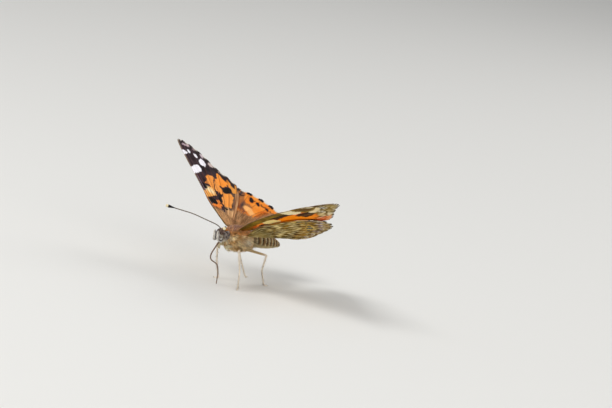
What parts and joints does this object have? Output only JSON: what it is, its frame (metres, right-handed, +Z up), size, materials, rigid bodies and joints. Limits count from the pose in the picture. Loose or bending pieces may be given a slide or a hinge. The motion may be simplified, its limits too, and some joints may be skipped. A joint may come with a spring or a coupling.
{
  "type": "painted lady butterfly",
  "caption": "Life-size painted lady butterfly, standing with half-open orange, black and white wings, clubbed feelers, slender legs and a lowered tongue.",
  "frame": {"origin": "middle of the animal's outline, on the floor under it", "axes": "+X to the animal's left along the wings, +Y towards its tail, +Z up"},
  "size_m": [0.0568, 0.0374, 0.0281],
  "materials": {
    "body_fur": "soft brown fur with a purple-grey sheen",
    "abdomen_fur": "brown scales banded with cream hair",
    "head_fur": "short brown and white hair",
    "eye": "glossy olive-grey, faintly mottled",
    "antenna": "dark brown ringed with cream, black club with a cream tip",
    "palp": "white and dark brown scales",
    "tongue": "smooth brown, finely ringed",
    "leg": "pale cream scales over brown",
    "forewing_scales": "matt wing scales, orange, black and white above, paler and pinker below",
    "hindwing_scales": "matt wing scales, orange and brown above, olive and cream marbling below"
  },
  "bodies": {
    "root": {"thorax": "body_fur", "abdomen": "abdomen_fur", "head": "head_fur", "eye_left": "eye", "eye_right": "eye", "antenna_left": "antenna", "antenna_right": "antenna", "palp_left": "palp", "palp_right": "palp", "proboscis": "tongue", "foreleg_left": "leg", "foreleg_right": "leg", "midleg_left": "leg", "midleg_right": "leg", "hindleg_left": "leg", "hindleg_right": "leg", "forewing_left": "forewing_scales", "forewing_right": "forewing_scales", "hindwing_left": "hindwing_scales", "hindwing_right": "hindwing_scales"}
  },
  "joints": []
}
